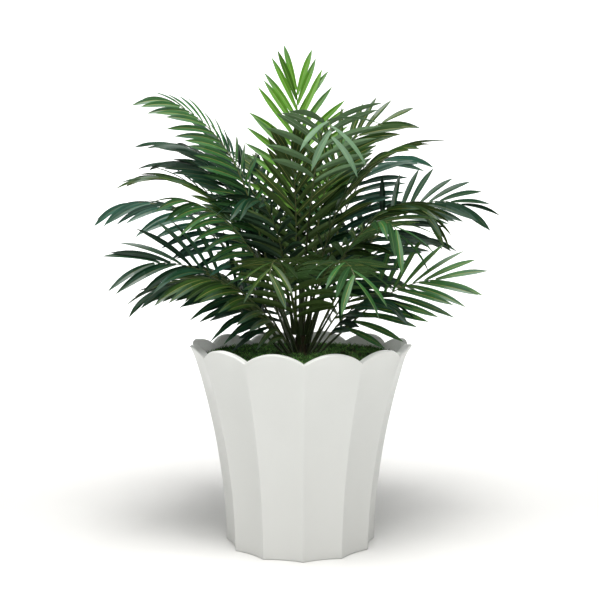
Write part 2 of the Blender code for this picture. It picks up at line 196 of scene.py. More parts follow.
# Each frond: bearing, reach and height of the rib's tip, slope of the rib at its foot and at
# its tip, roll of the blade, bare share of the rib, length of the longest leaflet, droop of
# the leaflets, tilt of the leaflets above the blade's own plane, angle between the rib and
# the leaflets at its tip, tone
FRONDS = {
    "frond_top_centre": (184, 0.100, 0.824, 89, 80, 0, 0.46, 0.128, 0.10, 10, 14, "bright"),
    # the front fan's pale tone is painted sheen
    "frond_front_tall": (16, 0.180, 0.706, 87, -76, 0, 0.62, 0.108, 0.26, 5, 40, "pale"),
    "frond_centre_inner": (-10, 0.090, 0.690, 82, 50, 0, 0.24, 0.105, 0.20, 5, 14, "olive"),
    "frond_right_upper": (97, 0.150, 0.752, 81, 18, 60, 0.32, 0.100, 0.14, 10, 14, "olive"),
    "frond_right_upper_front": (58, 0.205, 0.700, 79, 12, 15, 0.30, 0.100, 0.22, -5, 14, "olive"),
    "frond_right_upper_back": (124, 0.240, 0.700, 68, 2, 10, 0.32, 0.100, 0.22, -20, 14, "blue"),
    "frond_right_long": (96, 0.295, 0.605, 64, -18, 58, 0.24, 0.106, 0.20, 5, 14, "dark"),
    "frond_right_arch": (72, 0.230, 0.585, 74, -45, 10, 0.34, 0.098, 0.25, -25, 14, "olive"),
    "frond_right_front": (46, 0.225, 0.550, 71, -58, 10, 0.27, 0.112, 0.26, 0, 36, "fresh"),
    "frond_right_low": (80, 0.242, 0.474, 41, 4, 58, 0.28, 0.126, 0.14, 10, 14, "fresh"),
    "frond_right_rim": (66, 0.168, 0.436, 47, -24, 15, 0.30, 0.080, 0.20, -15, 14, "dark"),
    "frond_front_right": (22, 0.232, 0.478, 76, -66, 0, 0.24, 0.102, 0.26, 0, 38, "fresh"),
    "frond_front_centre": (-14, 0.205, 0.488, 71, -62, 0, 0.20, 0.098, 0.24, 0, 36, "olive"),
    "frond_front_left_mid": (-34, 0.165, 0.610, 77, -12, -15, 0.28, 0.100, 0.34, -15, 14, "dark"),
    "frond_left_low_front": (-56, 0.225, 0.476, 56, -8, -20, 0.20, 0.116, 0.24, -15, 14, "olive"),
    "frond_left_rim": (-77, 0.258, 0.456, 46, -22, -15, 0.24, 0.096, 0.22, -12, 14, "dark"),
    "frond_left_front": (-66, 0.271, 0.505, 55, -3, -60, 0.24, 0.128, 0.28, 10, 14, "dark"),
    "frond_left_mid": (-60, 0.225, 0.610, 66, 12, -46, 0.32, 0.078, 0.46, -30, 14, "fresh"),
    "frond_left_far": (-83, 0.306, 0.606, 58, -8, -30, 0.34, 0.098, 0.36, -18, 14, "blue"),
    "frond_left_olive": (-94, 0.270, 0.653, 67, -6, -12, 0.30, 0.096, 0.14, 0, 14, "olive"),
    "frond_left_back_mid": (-103, 0.248, 0.683, 70, 0, -8, 0.32, 0.088, 0.16, -15, 14, "dark"),
    "frond_left_back_upper": (-112, 0.273, 0.722, 66, 5, -8, 0.32, 0.088, 0.16, -12, 14, "dark"),
    "frond_left_back_high": (-126, 0.190, 0.728, 76, 44, -12, 0.32, 0.104, 0.14, -10, 14, "dark"),
    "frond_left_upper": (-88, 0.232, 0.787, 67, 24, -40, 0.34, 0.088, 0.28, -12, 14, "fresh"),
    "frond_back_right_high": (150, 0.200, 0.730, 76, 25, 0, 0.34, 0.102, 0.16, 0, 14, "mid"),
    "frond_back_left_high": (-152, 0.200, 0.700, 67, 20, 0, 0.34, 0.102, 0.16, 0, 14, "olive"),
    "frond_back_right_mid": (138, 0.280, 0.615, 65, -8, 0, 0.30, 0.102, 0.20, -10, 14, "dark"),
    "frond_back_mid": (174, 0.270, 0.600, 66, -12, 0, 0.30, 0.102, 0.20, -10, 14, "mid"),
    "frond_back_left_mid": (-138, 0.280, 0.600, 63, -8, 0, 0.30, 0.102, 0.20, -10, 14, "blue"),
    "frond_right_back_mid": (112, 0.256, 0.545, 58, -8, 0, 0.34, 0.100, 0.20, -20, 14, "dark"),
    "frond_back_right_low": (132, 0.242, 0.460, 47, -12, 0, 0.32, 0.096, 0.22, -10, 14, "olive"),
    "frond_back_left_low": (-150, 0.248, 0.455, 46, -14, 0, 0.32, 0.096, 0.22, -10, 14, "dark"),
    "frond_left_back_low": (-118, 0.256, 0.490, 50, -10, 0, 0.32, 0.098, 0.22, -20, 14, "dark"),
}

# Tones of the printed leaf cloth: upper face, its second shade, underside, midrib
TONES = {
    "bright": ((0.075, 0.225, 0.014), (0.120, 0.290, 0.030), (0.090, 0.200, 0.026), (0.180, 0.290, 0.060)),
    "fresh": ((0.030, 0.115, 0.028), (0.050, 0.150, 0.042), (0.045, 0.095, 0.024), (0.240, 0.260, 0.055)),
    "mid": ((0.018, 0.080, 0.024), (0.034, 0.115, 0.038), (0.030, 0.070, 0.020), (0.160, 0.185, 0.045)),
    "olive": ((0.020, 0.056, 0.008), (0.032, 0.078, 0.013), (0.040, 0.074, 0.014), (0.200, 0.205, 0.045)),
    "blue": ((0.012, 0.062, 0.038), (0.026, 0.095, 0.062), (0.022, 0.060, 0.032), (0.070, 0.110, 0.050)),
    # pale: a light grey-green that paints the top light's sheen on the front fan's hanging leaflets
    "pale": ((0.105, 0.200, 0.105), (0.150, 0.250, 0.155), (0.090, 0.160, 0.070), (0.200, 0.280, 0.160)),
    "dark": ((0.006, 0.034, 0.014), (0.011, 0.052, 0.024), (0.012, 0.034, 0.013), (0.070, 0.090, 0.030)),
}


def shader_group(name, inputs, outputs):
    """Empty shader node group with float or colour sockets, and its two end nodes."""
    group = bpy.data.node_groups.new(name, "ShaderNodeTree")
    for label, kind, value in inputs:
        socket = group.interface.new_socket(name=label, in_out="INPUT", socket_type=kind)
        socket.default_value = value
    for label, kind in outputs:
        group.interface.new_socket(name=label, in_out="OUTPUT", socket_type=kind)
    return group, group.nodes.new("NodeGroupInput"), group.nodes.new("NodeGroupOutput")


def noise_node(tree, scale, detail):
    """Noise over the piece's own place, whose scale may come from a socket."""
    place = tree.nodes.new("ShaderNodeTexCoord")
    texture = tree.nodes.new("ShaderNodeTexNoise")
    texture.inputs["Detail"].default_value = detail
    tree.links.new(place.outputs["Object"], texture.inputs["Vector"])
    if isinstance(scale, (int, float)):
        texture.inputs["Scale"].default_value = scale
    else:
        tree.links.new(scale, texture.inputs["Scale"])
    return texture


def make_mottle_group():
    """Colour that drifts between two shades in soft patches."""
    group, start, end = shader_group(
        "soft_mottle",
        (("Shade", "NodeSocketColor", (0.5, 0.5, 0.5, 1)),
         ("Other Shade", "NodeSocketColor", (0.4, 0.4, 0.4, 1)),
         ("Scale", "NodeSocketFloat", 20.0), ("Lean", "NodeSocketFloat", 0.5)),
        (("Colour", "NodeSocketColor"), ("Mask", "NodeSocketFloat")))
    patches = noise_node(group, start.outputs["Scale"], 3.0)
    spread = group.nodes.new("ShaderNodeMapRange")
    spread.inputs["From Min"].default_value = 0.32
    spread.inputs["From Max"].default_value = 0.68
    lean = group.nodes.new("ShaderNodeMath")
    lean.operation = "MULTIPLY"
    blend = group.nodes.new("ShaderNodeMix")
    blend.data_type = "RGBA"
    group.links.new(patches.outputs["Fac"], spread.inputs["Value"])
    group.links.new(spread.outputs["Result"], lean.inputs[0])
    group.links.new(start.outputs["Lean"], lean.inputs[1])
    group.links.new(lean.outputs[0], blend.inputs[0])
    group.links.new(start.outputs["Shade"], blend.inputs[6])
    group.links.new(start.outputs["Other Shade"], blend.inputs[7])
    group.links.new(blend.outputs[2], end.inputs["Colour"])
    group.links.new(spread.outputs["Result"], end.inputs["Mask"])
    return group


def make_grain_group():
    """Height of a fine grain over broad gentle unevenness."""
    group, start, end = shader_group(
        "surface_grain",
        (("Grain Scale", "NodeSocketFloat", 600.0), ("Wave Scale", "NodeSocketFloat", 12.0),
         ("Wave Share", "NodeSocketFloat", 0.5)),
        (("Height", "NodeSocketFloat"), ("Mask", "NodeSocketFloat")))
    grain = noise_node(group, start.outputs["Grain Scale"], 4.0)
    wave = noise_node(group, start.outputs["Wave Scale"], 2.0)
    blend = group.nodes.new("ShaderNodeMix")
    blend.data_type = "FLOAT"
    group.links.new(start.outputs["Wave Share"], blend.inputs[0])
    group.links.new(grain.outputs["Fac"], blend.inputs[2])
    group.links.new(wave.outputs["Fac"], blend.inputs[3])
    group.links.new(blend.outputs[0], end.inputs["Height"])
    group.links.new(wave.outputs["Fac"], end.inputs["Mask"])
    return group


MOTTLE = make_mottle_group()
GRAIN = make_grain_group()


def finish(name, shade, other, roughness, mottle=(20.0, 0.6), grain=(600.0, 12.0, 0.4), relief=(0.1, 0.0005),
           specular=0.5, sheen=0.0):
    """Procedural finish: mottled colour, roughness that drifts with it, and a grained surface."""
    material = bpy.data.materials.new(name)
    material.use_nodes = True
    tree = material.node_tree
    shader = tree.nodes["Principled BSDF"]
    colour = tree.nodes.new("ShaderNodeGroup")
    colour.node_tree = MOTTLE
    colour.inputs["Shade"].default_value = (*shade, 1.0)
    colour.inputs["Other Shade"].default_value = (*other, 1.0)
    colour.inputs["Scale"].default_value = mottle[0]
    colour.inputs["Lean"].default_value = mottle[1]
    surface = tree.nodes.new("ShaderNodeGroup")
    surface.node_tree = GRAIN
    for label, value in zip(("Grain Scale", "Wave Scale", "Wave Share"), grain):
        surface.inputs[label].default_value = value
    bump = tree.nodes.new("ShaderNodeBump")
    bump.inputs["Strength"].default_value = relief[0]
    bump.inputs["Distance"].default_value = relief[1]
    spread = tree.nodes.new("ShaderNodeMapRange")
    spread.inputs["To Min"].default_value = roughness[0]
    spread.inputs["To Max"].default_value = roughness[1]
    tree.links.new(colour.outputs["Colour"], shader.inputs["Base Color"])
    tree.links.new(surface.outputs["Mask"], spread.inputs["Value"])
    tree.links.new(spread.outputs["Result"], shader.inputs["Roughness"])
    tree.links.new(surface.outputs["Height"], bump.inputs["Height"])
    tree.links.new(bump.outputs["Normal"], shader.inputs["Normal"])
    shader.inputs["Specular IOR Level"].default_value = specular
    shader.inputs["Sheen Weight"].default_value = sheen
    return material


def shade_toward_foot(material, height, grey):
    """Painted shade on a standing piece: its colour greys from a height down to the ground."""
    tree = material.node_tree
    shader = tree.nodes["Principled BSDF"]
    unshaded = shader.inputs["Base Color"].links[0].from_socket
    place = tree.nodes.new("ShaderNodeTexCoord")
    split = tree.nodes.new("ShaderNodeSeparateXYZ")
    shade_fall = tree.nodes.new("ShaderNodeMapRange")
    shade_fall.inputs["From Max"].default_value = height
    shade_fall.inputs["To Min"].default_value = 1.0
    shade_fall.inputs["To Max"].default_value = 0.0
    blend = tree.nodes.new("ShaderNodeMix")
    blend.data_type = "RGBA"
    blend.inputs[7].default_value = (*grey, 1.0)
    tree.links.new(place.outputs["Object"], split.inputs["Vector"])
    tree.links.new(split.outputs["Z"], shade_fall.inputs["Value"])
    tree.links.new(shade_fall.outputs["Result"], blend.inputs[0])
    tree.links.new(unshaded, blend.inputs[6])
    tree.links.new(blend.outputs[2], shader.inputs["Base Color"])


class Pile:
    """Points and faces of one joined piece, with a finish for each face."""

    def __init__(self, name, finishes):
        self.name = name
        self.finishes = finishes
        self.points = []
        self.faces = []
        self.looks = []

    def add(self, points, faces, looks):
        first = len(self.points)
        self.points += points
        self.faces += [tuple(first + n for n in face) for face in faces]
        self.looks += looks if isinstance(looks, list) else [looks] * len(faces)

    def add_rings(self, rings):
        self.add([p for ring in rings for p in ring], lathe_faces(len(rings), len(rings[0])), 0)

    def make(self, nodes, crease):
        mesh = bpy.data.meshes.new(self.name)
        mesh.from_pydata([tuple(p) for p in self.points], [], self.faces)
        for look in self.finishes:
            mesh.materials.append(look)
        mesh.polygons.foreach_set("material_index", self.looks)
        mesh.shade_smooth()
        mesh.set_sharp_from_angle(angle=math.radians(crease))
        piece = bpy.data.objects.new(self.name, mesh)
        bpy.context.scene.collection.objects.link(piece)
        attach(piece, "root")
        if nodes:
            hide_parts(*nodes)


def outward(bearing):
    """Level unit vector at a bearing in degrees."""
    turn = math.radians(bearing)
    return Vector((math.sin(turn), -math.cos(turn), 0.0))


def upright(height):
    return Vector((0.0, 0.0, height))


def lathe_faces(ring_count, sides):
    """Quads between rings laid one after another, with a polygon over the first and last."""
    faces = []
    for ring in range(ring_count - 1):
        low, high = ring * sides, (ring + 1) * sides
        for k in range(sides):
            n = (k + 1) % sides
            faces.append((low + k, low + n, high + n, high + k))
    last = (ring_count - 1) * sides
    faces.append(tuple(reversed(range(sides))))
    faces.append(tuple(last + k for k in range(sides)))
    return faces


# Planter

def ridge_radius(height):
    share = max(height, 0.0) / NOTCH_HEIGHT
    return FOOT_RADIUS + (NOTCH_RADIUS - FOOT_RADIUS) * share ** FLARE_POWER


def petal_columns():
    """Bearing of each column and its place across the petal, closest together at the ridges."""
    places = [-1.0 + s for s in PETAL_STEPS] + [1.0 - s for s in reversed(PETAL_STEPS[1:-1])]
    half = 180.0 / PETALS
    return [(NOTCH_BEARING + half * (2 * petal + 1 + across), across)
            for petal in range(PETALS) for across in places]


def outer_radius(height, across):
    half = math.pi / PETALS
    flat = ridge_radius(height) * math.cos(half) / math.cos(half * across)
    rise = max(0.0, height - CURL_FROM) / (NOTCH_HEIGHT + PETAL_RISE - CURL_FROM)
    near_ridge = max(0.0, 1.0 - (1.0 - abs(across)) / RIDGE_SPAN)
    bulge = (CURL * rise ** CURL_POWER - FLUTE_DEPTH) * (1.0 - across * across)
    return flat + bulge - RIDGE_CUT * near_ridge ** 2


def petal_top(across):
    return NOTCH_HEIGHT + PETAL_RISE * (1.0 - across * across)


def ring_of(columns, place):
    points = []
    for bearing, across in columns:
        radius, height = place(across)
        points.append(outward(bearing) * radius + upright(height))
    return points


def planter_rings(columns):
    rings = []
    for turn in (0, 30, 60, 90):
        sweep = math.radians(turn)
        inset = FOOT_EDGE * (1 - math.sin(sweep))
        rise = FOOT_EDGE * (1 - math.cos(sweep))
        rings.append(ring_of(columns, lambda a, i=inset, z=rise: (outer_radius(z, a) - i, z)))
    for step in range(1, WALL_STEPS):
        share = step / WALL_STEPS

        def wall_place(a, s=share):
            height = FOOT_EDGE + (petal_top(a) - LIP_ROUND - FOOT_EDGE) * s
            return outer_radius(height, a), height
        rings.append(ring_of(columns, wall_place))
    for side in (0, 1):
        for step in range(LIP_STEPS + 1):
            def lip_place(a, t=math.pi / 2 * (side + step / LIP_STEPS), s=side):
                middle = outer_radius(petal_top(a), a) - (WALL - LIP_ROUND if s else LIP_ROUND)
                return middle + LIP_ROUND * math.cos(t), petal_top(a) - LIP_ROUND * (1 - math.sin(t))
            rings.append(ring_of(columns, lip_place))
    for step in range(1, WALL_STEPS // 2):
        def inner_place(a, s=2 * step / WALL_STEPS):
            top = petal_top(a) - LIP_ROUND
            height = top + (FLOOR - top) * s
            return outer_radius(height, a) - WALL, height
        rings.append(ring_of(columns, inner_place))
    rings.append(ring_of(columns, lambda a: (outer_radius(FLOOR, a) - WALL, FLOOR)))
    return rings


def make_planter():
    white = finish("planter_white", (0.835, 0.850, 0.830), (0.780, 0.795, 0.770), (0.42, 0.58),
                   mottle=(7.0, 0.35), grain=(900.0, 22.0, 0.75), relief=(0.30, 0.0012), specular=0.40)
    # painted shade, greying the planter toward its foot
    shade_toward_foot(white, PLANTER_UNSHADED_ABOVE, PLANTER_SHADE_GREY)
    columns = petal_columns()
    rings = planter_rings(columns)
    pile = Pile("planter", [white])
    pile.add_rings(rings)
    pile.make(["pot"], crease=35)


# Moss

def moss_height(radius, bearing, wall):
    """Height of the moss bed: level at the wall, a hollow round the stem, lumps between."""
    share = min(1.0, max(0.0, (wall - radius) / (wall - HOLLOW_RADIUS)))
    base = MOSS_EDGE + (MOSS_CROWN - MOSS_EDGE) * share
    if radius < HOLLOW_RADIUS:
        fall = (HOLLOW_RADIUS - radius) / (HOLLOW_RADIUS - HOLLOW_FLOOR_RADIUS)
        base += (HOLLOW_FLOOR - MOSS_CROWN) * min(1.0, fall)
    spot = outward(bearing) * radius
    broad, fine = MOSS_LUMP_SCALES
    lump = noise.noise(spot * broad) + noise.noise(spot * fine + Vector((7, 3, 1))) * 0.5
    return base + MOSS_LUMP * lump * min(1.0, radius / HOLLOW_RADIUS)


def inner_wall(height, across):
    return outer_radius(height, across) - WALL - CLEARANCE


def across_of(bearing):
    step = 360.0 / PETALS
    return 2.0 * (((bearing - NOTCH_BEARING) % step) / step) - 1.0


def moss_bed_piece(finishes):
    columns = petal_columns()
    rings = [ring_of(columns, lambda a, z=z: (inner_wall(z, a), z)) for z in (0.020, 0.12, 0.22, 0.30)]
    for step in range(MOSS_BED_STEPS + 1):
        points = []
        for bearing, across in columns:
            wall = inner_wall(MOSS_EDGE, across)
            radius = wall + (HOLLOW_FLOOR_RADIUS - wall) * step / MOSS_BED_STEPS
            points.append(outward(bearing) * radius + upright(moss_height(radius, bearing, wall)))
        rings.append(points)
    pile = Pile("moss_ground", finishes)
    pile.add_rings(rings)
    pile.make(["moss_bed"], crease=60)


def strand(rng, root, lean, length, width):
    """A short flat curled strand of moss."""
    side = lean.cross(Vector((rng.uniform(-1, 1), rng.uniform(-1, 1), rng.uniform(-1, 1)))).normalized()
    curl = Vector((rng.uniform(-1, 1), rng.uniform(-1, 1), rng.uniform(-0.5, 0.3)))
    points = []
    for k, share in enumerate((0.0, 0.4, 0.75)):
        middle = root + lean * length * share + curl * length * share * share * 0.55
        half = side * width * (0.5 - 0.22 * share)
        points += [middle - half, middle + half]
    points.append(root + lean * length * 0.95 + curl * length * 0.62)
    return points, [(0, 1, 3, 2), (2, 3, 5, 4), (4, 5, 6)]


def make_moss():
    greens = [
        finish("moss_deep", (0.020, 0.056, 0.016), (0.044, 0.058, 0.026), (0.80, 0.95), mottle=(60.0, 0.7),
               grain=MOSS_GRAIN, relief=(0.6, 0.002), specular=0.2),
        finish("moss_green", (0.068, 0.215, 0.046), (0.110, 0.290, 0.064), (0.75, 0.95), mottle=(40.0, 0.7),
               grain=MOSS_GRAIN, relief=(0.3, 0.001), specular=0.25),
        finish("moss_light", (0.180, 0.420, 0.095), (0.270, 0.460, 0.130), (0.75, 0.95), mottle=(40.0, 0.7),
               grain=MOSS_GRAIN, relief=(0.3, 0.001), specular=0.25),
        finish("moss_brown", (0.130, 0.095, 0.050), (0.190, 0.140, 0.075), (0.75, 0.95), mottle=(40.0, 0.7),
               grain=MOSS_GRAIN, relief=(0.3, 0.001), specular=0.2),
    ]
    moss_bed_piece(greens)
    rng = random.Random(11)
    tufts = Pile("moss_strands", greens)
    golden = math.degrees(math.pi * (3.0 - math.sqrt(5.0)))
    reach = inner_wall(MOSS_EDGE, 0.0)
    for k in range(MOSS_STRANDS):
        bearing = golden * k + rng.uniform(-2, 2)
        radius = reach * math.sqrt((k + 0.5) / MOSS_STRANDS)
        wall = inner_wall(MOSS_EDGE, across_of(bearing))
        radius = min(radius * wall / reach, wall - MOSS_WALL_GAP)
        if radius < HOLLOW_FLOOR_RADIUS + 0.001:
            continue
        root = outward(bearing) * radius
        patch = noise.noise(root * MOSS_PATCH_SCALE) * 1.5 + rng.uniform(-0.25, 0.25)
        brown = rng.random() < MOSS_BROWN_SHARE
        shade = 3 if brown else 0 if patch < MOSS_DEEP_BELOW else 2 if patch > MOSS_LIGHT_ABOVE else 1
        lean = Vector((rng.uniform(-0.8, 0.8), rng.uniform(-0.8, 0.8), rng.uniform(0.5, 1.0))).normalized()
        if wall - radius < MOSS_FRINGE:
            lean = (lean - outward(bearing) * 0.9).normalized()
        root += upright(moss_height(radius, bearing, wall) - 0.001)
        points, faces = strand(rng, root, lean, MOSS_STRAND * rng.uniform(0.6, 1.25), MOSS_STRAND_WIDTH)
        tufts.add(points, faces, shade)
    tufts.make([], crease=60)


# Stem and ribs

def stem_radius(height):
    share = (height - STEM_FOOT) / (STEM_TOP - STEM_FOOT)
    return STEM_FOOT_RADIUS + (STEM_TOP_RADIUS - STEM_FOOT_RADIUS) * share


def make_stem():
    """Short stem with the scars of old sheaths, wrapped in coarse brown fibre."""
    bark = finish("sheath_brown", (0.026, 0.026, 0.012), (0.016, 0.022, 0.009), (0.65, 0.85),
                  mottle=(90.0, 0.8), grain=(700.0, 160.0, 0.5), relief=(0.6, 0.0015), specular=0.25)
    fibre = finish("fibre_brown", (0.085, 0.058, 0.028), (0.050, 0.036, 0.018), (0.65, 0.85),
                   mottle=(60.0, 0.7), grain=(900.0, 90.0, 0.4), relief=(0.3, 0.0006), specular=0.25)
    pile = Pile("stem_column", [bark, fibre])
    rings = []
    for step in range(STEM_STEPS + 1):
        height = STEM_FOOT + (STEM_TOP - STEM_FOOT) * step / STEM_STEPS
        scar = SCAR_DEPTH * math.sin(step * 2 * math.pi / SCAR_STEPS) ** 3
        ring = []
        for k in range(STEM_SIDES):
            spot = outward(360 * k / STEM_SIDES)
            rough = BARK_ROUGHNESS * noise.noise(Vector((spot.x * 3, spot.y * 3, height * 160)))
            ring.append(spot * (stem_radius(height) - BARK_ROUGHNESS + scar + rough) + upright(height))
        rings.append(ring)
    rings.append([Vector((p.x * 0.55, p.y * 0.55, STEM_TOP + 0.002)) for p in rings[-1]])
    pile.add_rings(rings)
    rng = random.Random(5)
    for _ in range(STEM_FIBRES):
        bearing, foot = rng.uniform(0, 360), rng.uniform(STEM_FOOT, STEM_TOP - 0.012)
        length, drift = rng.uniform(0.008, 0.022), rng.uniform(-25, 25)
        points = []
        for k in range(4):
            share = k / 3
            height = min(foot + length * share, STEM_TOP)
            spot = outward(bearing + drift * share)
            turn = spot.cross(Vector((0, 0, 1)))
            middle = spot * (stem_radius(height) + FIBRE_HALF + 0.0012 * share * share) + upright(height)
            points += [middle - turn * FIBRE_HALF, middle + turn * FIBRE_HALF]
        pile.add(points, [(0, 1, 3, 2), (2, 3, 5, 4), (4, 5, 7, 6)], 1)
    pile.make(["stem"], crease=50)


def slant(level, slope):
    """Unit vector along a level direction, raised by a slope in degrees."""
    turn = math.radians(slope)
    return level * math.cos(turn) + upright(math.sin(turn))


def spread(bearings, least):
    """Move sorted bearings round the stem until each is at least so far from the next."""
    places = list(bearings)
    count = len(places)
    for _ in range(SPREAD_ROUNDS):
        for k in range(count):
            n = (k + 1) % count
            turn = 360.0 if n == 0 else 0.0
            lack = least - (places[n] + turn - places[k])
            if lack > 0:
                places[k] -= lack / 2
                places[n] += lack / 2
    return places


def sockets():
    """Height and bearing of each frond's foot on the stem, the flattest fronds lowest."""
    order = sorted(FRONDS, key=lambda name: FRONDS[name][3])
    found = {}
    for first in range(0, len(order), WHORL_SIZE):
        whorl = sorted(order[first:first + WHORL_SIZE], key=lambda name: FRONDS[name][0] % 360)
        height = LOWEST_SOCKET + WHORL_PITCH * (first // WHORL_SIZE)
        least = min(SPREAD_SHARE * 360 / len(whorl), WIDEST_SPREAD)
        places = spread([FRONDS[name][0] % 360 for name in whorl], least)
        for name, place in zip(whorl, places):
            found[name] = (height, place)
    return found


def rib_curve(name, socket, radius):
    """Function that gives a point of the rib for a share from foot to tip."""
    bearing, reach, height, foot_slope, tip_slope = FRONDS[name][:5]
    level = outward(bearing)
    foot = outward(socket[1]) * radius + upright(socket[0])
    tip = level * reach + upright(height)
    span = (tip - foot).length
    from_foot = foot + slant(level, foot_slope) * span * FOOT_REACH
    to_tip = tip - slant(level, tip_slope) * span * TIP_REACH

    def at(u):
        v = 1 - u
        return foot * v ** 3 + from_foot * 3 * u * v * v + to_tip * 3 * u * u * v + tip * u ** 3
    return at


def even_shares(at):
    """Length along the curve at even steps of its own parameter."""
    points = [at(k / CURVE_STEPS) for k in range(CURVE_STEPS + 1)]
    run = [0.0]
    for a, b in zip(points, points[1:]):
        run.append(run[-1] + (b - a).length)
    return run


class Rib:
    """A frond's rib with its blade's own directions along it."""

    def __init__(self, name, socket):
        self.name = name
        self.roll, self.bare, self.leaf, self.sag, self.vee, self.close, self.tone = FRONDS[name][5:]
        radius = stem_radius(socket[0]) + RIB_FOOT_WIDTH
        self.settle(socket, radius)
        self.settle(socket, radius + CLEARANCE - self.stem_gap())

    def stem_gap(self):
        """Least distance between the stem and the first stretch of the rib."""
        spots = []
        for distance in FOOT_STEPS:
            ring = self.corners(distance)
            spots += ring + [a.lerp(b, 0.5) for a, b in zip(ring, ring[1:] + ring[:1])]
        return min(s.to_2d().length - stem_radius(s.z) for s in spots if s.z < STEM_TOP)

    def settle(self, socket, radius):
        self.at = rib_curve(self.name, socket, radius)
        self.run = even_shares(self.at)
        self.length = self.run[-1]

    def parameter(self, distance):
        for k in range(CURVE_STEPS):
            if self.run[k + 1] >= distance:
                gap = self.run[k + 1] - self.run[k]
                return (k + (distance - self.run[k]) / gap) / CURVE_STEPS
        return 1.0

    def frame(self, distance):
        """Point, direction, side and upper normal at a distance along the rib."""
        distance = min(max(distance, 0.0), self.length)
        u = self.parameter(distance)
        before, after = max(u - TANGENT_STEP, 0.0), min(u + TANGENT_STEP, 1.0)
        along = (self.at(after) - self.at(before)).normalized()
        side = along.cross(Vector((0, 0, 1))).normalized()
        rolled = self.roll * min(1.0, distance / (self.length * self.bare))
        side = Matrix.Rotation(math.radians(rolled), 3, along) @ side
        return self.at(u), along, side, side.cross(along).normalized()

    def half_sizes(self, distance):
        left = (1 - min(distance / self.length, 1.0)) ** RIB_TAPER
        width = RIB_TIP_WIDTH + (RIB_FOOT_WIDTH - RIB_TIP_WIDTH) * left
        depth = RIB_TIP_DEPTH + (RIB_FOOT_DEPTH - RIB_TIP_DEPTH) * left
        return width / 2, depth / 2

    def corners(self, distance):
        point, along, side, up = self.frame(distance)
        half_width, half_depth = self.half_sizes(distance)
        right, top = side * half_width, up * half_depth
        return [point + right + top, point - right + top, point - right - top, point + right - top]


def pair_places(rib):
    """Distances along the rib at which each pair of leaflets starts, foot to tip."""
    start = rib.length * rib.bare
    last = rib.length - BASE_SPAN
    count = max(4, round((last - start) / PAIR_PITCH))
    return [start + (last - start) * k / count for k in range(count + 1)]


def leaflet_axes(rib, k, hand, lift, stretch):
    """Foot, axis, across, face, length and droop of a leaflet, by the rule of the solids."""
    own = random.Random(f"{rib.name} {k} {hand}")
    last = len(rib.places) - 1
    share = (k if hand < 0 else max(k - 0.5, 0.0)) / last
    place = rib.places[0] + (rib.places[-1] - rib.places[0]) * share
    point, along, side, up = rib.frame(place + BASE_SPAN / 2)
    angle = math.radians(FIRST_ANGLE + (rib.close - FIRST_ANGLE) * share ** ANGLE_POWER
                         + own.gauss(0, ANGLE_SPREAD))
    tilt = math.radians(rib.vee + lift + own.gauss(0, TILT_SPREAD))
    stretch *= own.uniform(*LENGTH_SPREAD)
    reach_out = side * hand * math.cos(tilt) + up * math.sin(tilt)
    axis = along * math.cos(angle) + reach_out * math.sin(angle)
    across = (along * math.sin(angle) - reach_out * math.cos(angle)).normalized()
    face = axis.cross(across).normalized() * hand
    turn = Matrix.Rotation(math.radians(LOUVRE + own.gauss(0, TILT_SPREAD)) * hand, 3, axis)
    across, face = turn @ across, turn @ face
    if face.dot(up) < 0:
        face = -face
    length = rib.leaf * stretch * (1 - TIP_LOSS * share ** 3 - FOOT_LOSS * (1 - share) ** 3)
    foot = point + side * hand * rib.half_sizes(place)[0] * ROOT_SHARE
    droop = (axis * axis.z - upright(1.0)) * rib.sag * own.uniform(*DROOP_SPREAD)
    return foot, axis, across, face, length, droop


def blade_spine(axes, s):
    foot, axis, across, face, length, droop = axes
    return foot + (axis * s + droop * s * s) * length


def blade_half_width(s):
    """Lance shape: narrow at its foot, widest past the middle, with a long point."""
    rise = math.sin(math.pi / 2 * min(1.0, s / WIDEST_AT))
    fall = max(0.0, (s - WIDEST_AT) / (1 - WIDEST_AT)) ** TIP_POWER
    return 0.5 * BLADE_WIDTH * (FOOT_WIDTH_SHARE + (1 - FOOT_WIDTH_SHARE) * rise) * (1 - fall)


def probe_of(axes):
    """Search tree of a leaflet's rough shape, with its box."""
    foot, axis, across, face, length, droop = axes
    points = []
    for s in (0.10, 0.40, 0.78):
        middle = blade_spine(axes, s)
        wide = across * (blade_half_width(s) + ROOM)
        thick = face * (BLADE_THICKNESS / 2 + ROOM)
        points += [middle - wide + thick, middle + wide + thick,
                   middle + wide - thick, middle - wide - thick]
    points.append(blade_spine(axes, 1.0))
    faces = [(3, 2, 1, 0)]
    for low in (0, 4):
        faces += [(low + k, low + (k + 1) % 4, low + 4 + (k + 1) % 4, low + 4 + k) for k in range(4)]
    faces += [(8 + k, 8 + (k + 1) % 4, 12) for k in range(4)]
    return tree_of(points, faces)


def tree_of(points, faces):
    low = Vector([min(p[k] for p in points) for k in range(3)])
    high = Vector([max(p[k] for p in points) for k in range(3)])
    return BVHTree.FromPolygons(points, faces), low, high


def boxes_meet(a, b):
    return all(a[1][k] <= b[2][k] and b[1][k] <= a[2][k] for k in range(3))


def grow_leaflets(ribs, placed):
    """Leaflets that touch nothing, the outermost pairs of all fronds first."""
    trees = []
    for rib in ribs:
        rib.places = pair_places(rib)
        rib.leaflets = []
        rings = [rib.corners(rib.length * k / PROBE_RINGS) for k in range(PROBE_RINGS + 1)]
        trees.append((rib, tree_of([p for ring in rings for p in ring], lathe_faces(len(rings), 4))))
    for turn in range(max(len(rib.places) for rib in ribs)):
        for rib in ribs:
            k = len(rib.places) - 1 - turn
            if k < 0:
                continue
            for hand in (-1, 1):
                if k or hand < 0:
                    find_room(rib, k, hand, trees, placed)


